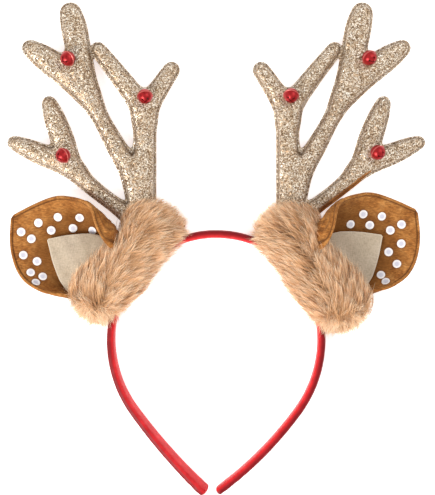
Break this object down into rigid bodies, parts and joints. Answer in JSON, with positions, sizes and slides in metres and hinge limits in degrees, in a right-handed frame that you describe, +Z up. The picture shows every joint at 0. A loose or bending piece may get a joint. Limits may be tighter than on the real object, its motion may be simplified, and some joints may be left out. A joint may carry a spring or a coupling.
{
  "type": "reindeer antler headband",
  "caption": "Satin-covered headband with padded glitter antlers, small jingle bells, cupped velour ears with felt patches, and fur puffs round their roots.",
  "frame": {"origin": "middle of the footprint, on the surface that the headband lies on", "axes": "+X to the right seen from the front, +Y from the band's tips towards the antlers, +Z up from the surface and out of the headband's front"},
  "size_m": [0.2346, 0.2756, 0.0317],
  "materials": {
    "red_satin": "satin ribbon glued over a plastic band",
    "champagne_glitter": "fine glitter on padded cloth, stitched round the edge",
    "red_bell_metal": "glossy red lacquer",
    "caramel_velour": "short soft pile",
    "beige_felt": "matt felt",
    "tan_fur": "long soft pile"
  },
  "bodies": {
    "root": {"headband": "red_satin", "antler_left": "champagne_glitter", "ear_left": "caramel_velour", "ear_patch_left": "beige_felt", "fur_left": "tan_fur", "bell_left_inner": "red_bell_metal", "bell_left_upper": "red_bell_metal", "bell_left_lower": "red_bell_metal", "antler_right": "champagne_glitter", "ear_right": "caramel_velour", "ear_patch_right": "beige_felt", "fur_right": "tan_fur", "bell_right_inner": "red_bell_metal", "bell_right_upper": "red_bell_metal", "bell_right_lower": "red_bell_metal"}
  },
  "joints": []
}
